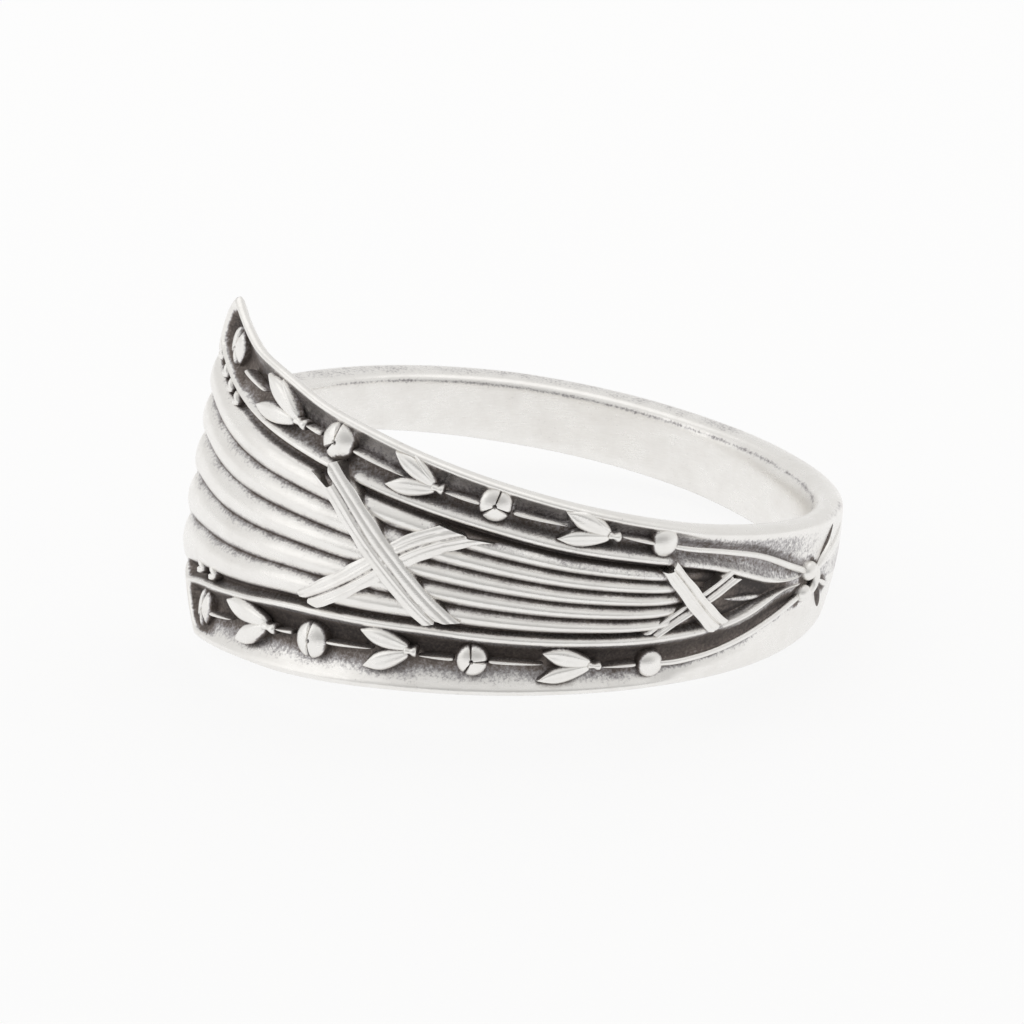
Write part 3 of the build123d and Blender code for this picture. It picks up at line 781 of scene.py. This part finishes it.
# %% Tie the bow
knot = stud("knot", 0.3, 0.8, 24)
copy_of(knot, "knot_above", 63.0, 0.52, 0.04, 8, (1.15, 1, 0.98))
copy_of(knot, "knot_below", 62.0, -0.12, 0.05, 0, (0.9, 1, 0.9))
drop(knot)
thread(
    "knot_band",
    [(63.6, 0.66, 0.1), (65.0, 0.5, 0.15), (65.2, 0.22, 0.15), (64.8, -0.02, 0.13), (63.6, -0.16, 0.1),
     (62.0, -0.18, 0.06)],
    (0.13, 0.14),
)
LOOP_RINGS = [(0, 0.05, 0.12), (0.2, 0.13, 0.24), (0.5, 0.22, 0.28), (0.8, 0.16, 0.24), (1, 0.03, 0.12)]
loop = turned("loop", LOOP_RINGS, vein=0.12)
stretch(loop, "loop_above", (66.2, 0.4), (72.4, 1.25), -0.06, 0.6)
stretch(loop, "loop_outer", (67.5, 0.35), (84, 1.3), -0.14, 0.8)
stretch(loop, "loop_below", (66.6, 0.14), (75.2, -0.45), -0.06, 0.5)
# The two tails are painted dark all over further down, as the bow's shadow.
stretch(slim_petal, "tail_above", (66.4, 0.62), (74.6, 1.66), -0.19, 1.3)
stretch(slim_petal, "tail_below", (67.2, 0.02), (73.2, -1.12), -0.14, 2.0)
stretch(slim_petal, "sliver", (53, 0.0), (42, 0.06), -0.45, 1.1)
drop(loop)

# %% [markdown]
# In each wide corner a short chain of tiny bell flowers lies in the gap beside the ridge. A bell
# is two small petals that open from one foot.

# %% Hang the little bells
BELLS = [
    (-57.8, -2.39, 0.5, -4), (-63.1, -2.50, 0.5, -4), (-58.4, 2.88, 0.44, -24),
    (-61.4, 3.10, 0.44, -28), (-64.4, 3.38, 0.46, -34), (-68.0, 3.72, 0.46, -40),
]
for k, (angle, height, length, way) in enumerate(BELLS):
    for opening in (-26, 26):
        ray = math.radians(way + opening)
        tip_angle = angle - math.degrees(length * math.cos(ray) / FACE_RADIUS)
        tip = (tip_angle, height - length * math.sin(ray))
        stretch(petal, f"bell_{k}_{opening}", (angle, height), tip, -0.24, 0.42)
for pattern in (bead, bud, split_bud, curved_bud, flat_bud, petal, slim_petal, collar, stalk):
    drop(pattern)
print("pieces so far:", len(pieces))

# %% [markdown]
# ## Where the dark stays
# Old silver is dark where a polishing cloth can't reach. The heights of all the flat pieces are
# put on one fine height map. A cloth rests on the high points and sags a little between them, so
# closing the map, which is widening the high parts and narrowing them again, gives the cloth. How
# far a point lies under the cloth is kept with it in an attribute of tarnish and painted shade, for
# the material. Painted shade goes into it too: faces that turn down are made darker and faces that
# turn up lighter. A few places are then seen to one by one, as on the real ring: its rims are rubbed
# brighter, the shoulder next to the bow is hazy, and the bow's loops are bright. The lower rim is
# also painted lighter where its wall faces up, and the bow's tails are painted dark all over, as
# painted shadow of the bow.

# %% Measure the hollows
CELL = 0.05
LOWEST = -5.8
NOTHING = -9.0
OPEN_FLOOR = -0.3
PAST_END = -0.02
MAP_LOW = np.array([flat_x(-92), LOWEST])
MAP_SIZE = (int(flat_x(184) / CELL), int(11.6 / CELL))


def cells_of(points):
    at = ((points[:, [0, 2]] - MAP_LOW) / CELL).astype(int)
    return np.clip(at[:, 0], 0, MAP_SIZE[0] - 1), np.clip(at[:, 1], 0, MAP_SIZE[1] - 1)


def spread(field, reach, pick):
    """Widen (np.maximum) or narrow (np.minimum) a map by a round brush."""
    steps = int(round(reach / CELL))
    result = field.copy()
    for a in range(-steps, steps + 1):
        for b in range(-steps, steps + 1):
            if a * a + b * b <= steps * steps + 1:
                result = pick(result, np.roll(field, (a, b), (0, 1)))
    return result


def soften(field, times):
    for _ in range(times):
        field = sum(np.roll(field, s, 0) for s in (-1, 0, 1)) / 3
        field = sum(np.roll(field, s, 1) for s in (-1, 0, 1)) / 3
    return field


heights = np.full(MAP_SIZE, NOTHING)
for piece in pieces:
    points = places(piece)
    corners = np.zeros(len(piece.data.edges) * 2, int)
    piece.data.edges.foreach_get("vertices", corners)
    ends = corners.reshape(-1, 2)
    points = np.concatenate([points, (points[ends[:, 0]] + points[ends[:, 1]]) / 2])
    points = points[(points[:, 1] < 0.75) & (points[:, 0] < flat_x(90))]
    np.maximum.at(heights, cells_of(points), -points[:, 1])
lengths = flat_x(-92) + CELL * (np.arange(MAP_SIZE[0]) + 0.5)
levels = LOWEST + CELL * (np.arange(MAP_SIZE[1]) + 0.5)
beyond = lengths[:, None] < end_edge(levels - float(along(MIDDLE_LINE, -72)))[None, :]
filled = np.where(heights < NOTHING + 1, spread(heights, 2 * CELL, np.maximum), heights)
filled = np.where(filled < NOTHING + 1, np.where(beyond, PAST_END, OPEN_FLOOR), filled)


def cloth(reach, times):
    """A cloth over the map that bridges gaps up to twice its reach."""
    return soften(spread(spread(filled, reach, np.maximum), reach, np.minimum), times)


near_cloth = cloth(0.3, 1)
wide_cloth = cloth(0.75, 2)
brush = soften(spread(filled, 0.1, np.maximum), 1)
print("deepest under the cloth:", round(float((near_cloth - filled).max()), 2), "mm")


# %% Values of the tarnish and of the painted light and shade
# A pair says where a mask starts and over how much it grows to full; a negative span grows the
# other way. Names that end in TURN are degrees round the finger, in SHARE shares of a width, and
# the others millimetres. Single values are amounts of dark, or how much cleaner a place is, or how
# much painted light or shade it gets.
BAND_NEAR = (0.015, 0.2)
RAISED_NEAR = (0.03, 0.07)
WIDE_SAG = (0.05, 0.36)
FOOT_SAG = (0.12, 0.12)
CHANNEL_MARGIN = 0.3
CHANNEL_SHARPER = 0.65
BAND_AMOUNT = 0.27
RAISED_AMOUNT = 0.42
WIDE_AMOUNT = 0.52
FOOT_AMOUNT = 0.3
MOST_DARK = 0.7
# Painted light and shade: how much lighter faces that turn up are made, and faces that turn down darker.
UP_FACING_PAINTED_LIGHT = 0.4
SIDE_MARGIN = (0.05, 0.08)
FRONT_TURN = (93, -9)
END_MARGIN = (0, 0.12)
FACE_DEPTH = 0.7
RIM_SHARE = (0.22, 0.5)
RIM_TURN = (-60, 10)
RIM_CLEANER = 0.7
LOW_RIM_SHARE = (0.4, 0.45)
# Wear and painted light: how much lighter the lower rim is made, where it is rubbed and where its wall faces
# up.
LOW_RIM_WEAR_AND_LIGHT = 0.5
SHOULDER_TURN = (24, 10)
SHOULDER_EDGE = (-0.05, -0.06)
SHOULDER_KEEPS = 0.95
SHOULDER_FOOT = 0.12
HAZE = 0.31
HAZE_TURN = (78, -26)
HAZE_EDGE = (0.16, 0.2)
BOW_TURN = (63, 3)
BOW_DARK = 0.8
TIP_TURN = (-54, -6)
TIP_DEPTH = (0.09, 0.1)
TIP_DARK = 0.66
SUNK_TURN = (33, 5)
SUNK_EDGE = (0.12, 0.08)
SUNK_DARK = 0.25
REED_TURN_ON = (-20, 15)
REED_TURN_OFF = (36, -10)
REED_TOP = (0.1, 0.1)
REED_FOOT = (0.55, -0.15)
REED_DARK = 0.2
LINE_TURN_ON = (76, 8)
LINE_TURN_OFF = (250, -40)
LINE_DEPTH = (0.8, 0.1)
LINE_SHARE = 0.78
LINE_HALF = 0.1
LINE_DARK = 0.33
BACK_TURN = (100, 40)
BACK_SHARE = (0.96, 0.03)
BACK_DARK = 0.2
LOOP_KEEPS = 0.2
# Painted shadow: the dark that covers the bow's tails all over.
TAIL_PAINTED_SHADOW = 0.72


def grows(value, start, span):
    return ease((value - start) / span)


def reached(value, start, span):
    return np.clip((value - start) / span, 0, 1)


def keep_attribute(piece, name, values):
    attribute = piece.data.attributes.new(name, "FLOAT", "POINT")
    attribute.data.foreach_set("value", np.ascontiguousarray(values, np.float32))


def front_of_band(dark, angle, height, half, own, near, foot):
    """The places of the band's front that rubbing or shelter made lighter or darker, and the painted light on
    the lower rim.
    """
    shift = along(ORNAMENT_SHIFT, angle)
    crest = along(RIDGE_LINE, angle) + shift
    low_crest = along(RIDGE_LINE, angle) - shift
    below_crest = crest - height
    to_rim = grows(-below_crest / (half - crest), *RIM_SHARE) * grows(angle, *RIM_TURN)
    # The lower rim is rubbed brighter and also painted lighter where its wall faces up.
    low_rim_wear_and_light = grows((-height - low_crest) / (half - low_crest), *LOW_RIM_SHARE)
    dark = dark * (1 - RIM_CLEANER * to_rim) * (1 - LOW_RIM_WEAR_AND_LIGHT * low_rim_wear_and_light)
    shoulder = grows(angle, *SHOULDER_TURN) * grows(below_crest, *SHOULDER_EDGE)
    haze = HAZE * grows(angle, *HAZE_TURN) * grows(half - height, *HAZE_EDGE)
    dark = dark + shoulder * (haze + SHOULDER_FOOT * foot - SHOULDER_KEEPS * dark)
    dark = dark + BOW_DARK * near * grows(angle, *BOW_TURN)
    tip = grows(-own, *TIP_DEPTH) * grows(angle, *TIP_TURN)
    dark = np.maximum(dark, TIP_DARK * tip)
    sunk = grows(angle, *SUNK_TURN) * grows(below_crest, *SUNK_EDGE)
    dark = dark + SUNK_DARK * sunk * grows(height + low_crest, *SUNK_EDGE)
    dull_reed = grows(angle, *REED_TURN_ON) * grows(angle, *REED_TURN_OFF)
    return dark + REED_DARK * dull_reed * grows(below_crest, *REED_TOP) * grows(below_crest, *REED_FOOT)


def back_of_band(angle, height, half, depth):
    """A thin dark line along the inside of the stem, and a darker upper edge."""
    inner_line = grows(depth, *LINE_DEPTH) * grows(angle, *LINE_TURN_ON) * grows(angle, *LINE_TURN_OFF)
    inner_line = inner_line * ease(1 - abs(height / half - LINE_SHARE) / LINE_HALF)
    edge = grows(height / half, *BACK_SHARE) * grows(angle, *BACK_TURN)
    return LINE_DARK * inner_line + BACK_DARK * edge


# %% Keep the tarnish and the painted light and shade with each piece
for piece in pieces:
    points = places(piece)
    at = cells_of(points)
    own = -points[:, 1]
    on_band = piece is band
    angle = np.degrees(points[:, 0] / FACE_RADIUS)
    height = points[:, 2] - along(MIDDLE_LINE, angle)
    half = half_width(angle, height)
    shift = along(ORNAMENT_SHIFT, angle)
    in_channel = abs(height - shift) > along(RIDGE_LINE, angle) - CHANNEL_MARGIN
    sharper = np.where(in_channel & on_band, CHANNEL_SHARPER, 1)
    near_from, near_span = BAND_NEAR if on_band else RAISED_NEAR
    near = reached(near_cloth[at] - own, near_from, near_span * sharper)
    wide = reached(wide_cloth[at] - own, *WIDE_SAG)
    foot = reached(brush[at] - own, *FOOT_SAG)
    normals = np.empty(len(points) * 3)
    piece.data.vertices.foreach_get("normal", normals)
    _, towards_finger, upwards = normals.reshape(-1, 3).T
    amount = BAND_AMOUNT if on_band else RAISED_AMOUNT
    dark = amount * near + WIDE_AMOUNT * wide + FOOT_AMOUNT * foot
    # Painted light and shade: faces that turn up are made lighter and faces that turn down darker.
    dark = np.minimum(dark, MOST_DARK) * (1 - UP_FACING_PAINTED_LIGHT * np.clip(upwards, -0.2, 1))
    if on_band:
        dark = front_of_band(dark, angle, height, half, own, near, foot)
    if piece.name.startswith(("knot", "loop")):
        dark = dark * LOOP_KEEPS
    # Painted shadow: the bow's tails are made dark all over.
    if piece.name.startswith("tail"):
        dark = np.full_like(dark, TAIL_PAINTED_SHADOW)
    past_end = points[:, 0] - end_edge(height)
    face = grows(half - abs(height), *SIDE_MARGIN) * grows(angle, *FRONT_TURN)
    dark = dark * face * grows(past_end, *END_MARGIN)
    dark = dark * (towards_finger < 0.5) * (points[:, 1] < FACE_DEPTH)
    if on_band:
        dark = dark + back_of_band(angle, height, half, points[:, 1])
    keep_attribute(piece, "tarnish", dark)
print("tarnish is kept with", len(pieces), "pieces")

# %% [markdown]
# ## Bend it round the finger
# The Simple Deform modifier bends along X round an upright axis, by an angle that it spreads over
# the length of each piece. A piece that is twice as long gets twice the angle, so all of them bend
# to the same circle. Then the ring is scaled from millimetres to metres and laid on the floor.

# %% Bend and lay down
BENT_CREASE = math.radians(48)
for piece in pieces:
    length = float(np.ptp(places(piece)[:, 0]))
    modify(piece, "SIMPLE_DEFORM", deform_method="BEND", deform_axis="Z", angle=length / FACE_RADIUS)
    bench_to_ring = Matrix.Translation((0, -FACE_RADIUS, 0))
    piece.matrix_world = to_floor @ Matrix.Scale(MM, 4) @ bench_to_ring
    only(piece)
    bpy.ops.object.transform_apply(location=True, rotation=True, scale=True)
    bpy.ops.object.shade_smooth_by_angle(angle=BENT_CREASE)
    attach(piece, "root")
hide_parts("ring_band")
print("the ring is", [round(float(v) * 1000, 2) for v in np.ptp(places(band), axis=0)], "mm")

# %% [markdown]
# ## Silver, and the maths behind it
# One material serves the whole ring. Its maths is written as Python expressions: the class below
# wraps a socket, so that 1 - mask or mask * 0.4 adds the Math nodes that the node editor would
# show.

# %% Sockets as values
class Value:
    def __init__(self, tree, socket):
        self.tree = tree
        self.socket = socket

    def node(self, kind, settings=(), **inputs):
        """Any node: its type, its settings, then its inputs by name, with _ for a space."""
        made = self.tree.nodes.new(kind)
        for key, value in dict(settings).items():
            setattr(made, key, value)
        for key, value in inputs.items():
            numbered = key[0] == "n" and key[1:].isdigit()
            slot = made.inputs[int(key[1:]) if numbered else key.replace("_", " ")]
            if isinstance(value, Value):
                self.tree.links.new(value.socket, slot)
            else:
                slot.default_value = value
        return made

    def maths(self, operation, first, second):
        made = self.node("ShaderNodeMath", {"operation": operation}, n0=first, n1=second)
        return Value(self.tree, made.outputs[0])

    def __add__(self, other):
        return self.maths("ADD", self, other)

    __radd__ = __add__

    def __mul__(self, other):
        return self.maths("MULTIPLY", self, other)

    __rmul__ = __mul__

    def __sub__(self, other):
        return self.maths("SUBTRACT", self, other)

    def __rsub__(self, other):
        return self.maths("SUBTRACT", other, self)

    def between(self, low, high):
        """0 below low, 1 above high and a soft step between."""
        made = self.node(
            "ShaderNodeMapRange", {"interpolation_type": "SMOOTHSTEP"},
            Value=self, From_Min=low, From_Max=high,
        )
        return Value(self.tree, made.outputs[0])

    def out(self, made, name=0):
        return Value(self.tree, made.outputs[name])

    def blend(self, low, high):
        """A colour between two, by this value."""
        made = self.node("ShaderNodeMix", {"data_type": "RGBA"}, n0=self, n6=low, n7=high)
        return Value(self.tree, made.outputs[2])

    def noise(self, place, scale, detail=3.0, rough=0.5):
        made = self.node("ShaderNodeTexNoise", Vector=place, Scale=scale, Detail=detail, Roughness=rough)
        return Value(self.tree, made.outputs[0])


# %% [markdown]
# Three things change over the silver. Tarnish is nearly black and brown in the deep hollows, with
# an uneven edge, because rubbing is never even; the same colours also carry the painted shade on
# faces that turn down and on the bow's tails. The worn faces carry hair lines that run round the
# finger, from polishing. And the metal has soft dents from the mould, which a bump gives.

# %% Mix the silver
PER_MM = 1000.0
BRIGHT_SILVER = (0.90, 0.885, 0.86, 1)
WORN_SILVER = (0.84, 0.82, 0.79, 1)
DULL_SILVER = (0.43, 0.415, 0.425, 1)
BROWN_TARNISH_AND_SHADE = (0.22, 0.188, 0.168, 1)
BLACK_TARNISH_AND_SHADE = (0.064, 0.056, 0.054, 1)
FILM_RANGE = (0.12, 0.42)
BROWN_RANGE = (0.30, 0.62)
BLACK_RANGE = (0.48, 0.95)
WORN_RANGE = (0.35, 0.75)
PATCH_AMOUNT = 0.42
GRIT_AMOUNT = 0.8
HAIR_STRETCH = (1, 1, 9)
DENT_DEPTH = 0.00006

silver = bpy.data.materials.new("silver")
silver.use_nodes = True
tree = silver.node_tree
shader = tree.nodes["Principled BSDF"]
start = Value(tree, None)
place = start.out(start.node("ShaderNodeTexCoord"), "Object")
tarnish = start.out(start.node("ShaderNodeAttribute", {"attribute_name": "tarnish"}), "Fac")
patches = start.noise(place, 1.1 * PER_MM, 4.0, 0.6)
grit = start.noise(place, 11.0 * PER_MM, 3.0, 0.7)
stretched = start.out(start.node("ShaderNodeMapping", Vector=place, Scale=HAIR_STRETCH), 0)
hair = start.noise(stretched, 2.4 * PER_MM, 5.0, 0.7)
uneven = tarnish + (patches - 0.5) * PATCH_AMOUNT + (grit - 0.5) * GRIT_AMOUNT
film = uneven.between(*FILM_RANGE)
brown = uneven.between(*BROWN_RANGE)
black = uneven.between(*BLACK_RANGE)
worn = (patches * 0.6 + hair * 0.4).between(*WORN_RANGE)
base = worn.blend(BRIGHT_SILVER, WORN_SILVER)
base = film.blend(base, DULL_SILVER)
base = brown.blend(base, BROWN_TARNISH_AND_SHADE)
base = black.blend(base, BLACK_TARNISH_AND_SHADE)
tree.links.new(base.socket, shader.inputs["Base Color"])
roughness = 0.24 + worn * 0.08 + hair * 0.06 + film * 0.12 + brown * 0.16
tree.links.new(roughness.socket, shader.inputs["Roughness"])
metal = 1 - black * 0.35
tree.links.new(metal.socket, shader.inputs["Metallic"])
relief = hair * 0.35 + grit * 0.25 + patches * 0.9
bump = start.node("ShaderNodeBump", Height=relief, Strength=0.25, Distance=DENT_DEPTH)
tree.links.new(bump.outputs[0], shader.inputs["Normal"])
for piece in pieces:
    piece.data.materials.clear()
    piece.data.materials.append(silver)
print("silver has", len(tree.nodes), "nodes")

# %% [markdown]
# ## Floor and light
# The photograph was taken in a light tent: everything round the ring is white, except the dark of
# the lens in front. Silver shows nothing but what it mirrors, so the world is white overhead and
# behind, and greyer towards the camera. Two weak soft lights, one on the left and one above, give
# the polished faces a little shape. The paper glows faintly, so that it stays white to its edges.

# %% Build the set
PAPER_SIZE = 1.2
PAPER_GREY = 0.16
PAPER_GLOW = 0.81
TENT_STRENGTH = 0.82
LENS_SHADE = 0.35
SIDE_SHADE = 0.12
TENT_WHITE = (1.0, 0.995, 0.985, 1)

only(camera)
bpy.ops.mesh.primitive_plane_add(size=PAPER_SIZE, location=(0, 0.2, 0))
floor = named("floor")
paper = bpy.data.materials.new("paper")
paper.use_nodes = True
glow = paper.node_tree.nodes["Principled BSDF"].inputs
glow["Base Color"].default_value = (PAPER_GREY, PAPER_GREY, PAPER_GREY, 1)
glow["Roughness"].default_value = 0.9
glow["Emission Color"].default_value = (1, 1, 1, 1)
glow["Emission Strength"].default_value = PAPER_GLOW
floor.data.materials.append(paper)

world = bpy.data.worlds.new("tent")
world.use_nodes = True
bpy.context.scene.world = world
tent = world.node_tree
sky = Value(tent, None)
ways = sky.node("ShaderNodeSeparateXYZ", Vector=sky.out(sky.node("ShaderNodeTexCoord"), "Generated"))
forward = sky.out(ways, "Y")
sideways = sky.out(ways, "X")
overhead = sky.out(ways, "Z")
lens_side = 1 - (forward + 0.35 * overhead).between(-0.95, -0.1)
side_shade = SIDE_SHADE * (sideways.between(0.1, 0.9) * lens_side)
strength = TENT_STRENGTH - LENS_SHADE * lens_side - side_shade
tent.links.new(strength.socket, tent.nodes["Background"].inputs["Strength"])
tent.nodes["Background"].inputs["Color"].default_value = TENT_WHITE


def soft_light(name, place, size, power, aim=(0, 0, 0.004)):
    bpy.ops.object.light_add(type="AREA", location=place)
    light = bpy.context.object
    light.name = name
    light.data.shape = "RECTANGLE"
    light.data.size = size[0]
    light.data.size_y = size[1]
    light.data.energy = power
    light.rotation_euler = (Vector(aim) - Vector(place)).to_track_quat("-Z", "Y").to_euler()
    return light


LEFT_POWER = 0.02
ABOVE_POWER = 0.035
soft_light("light_left", (-0.16, -0.05, 0.09), (0.12, 0.16), LEFT_POWER)
soft_light("light_above", (0.02, 0.06, 0.2), (0.24, 0.16), ABOVE_POWER)
bpy.context.scene.view_settings.view_transform = "Standard"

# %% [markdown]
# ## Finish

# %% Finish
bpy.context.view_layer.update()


def plain(box):
    return [[float(v) for v in corner] for corner in box]
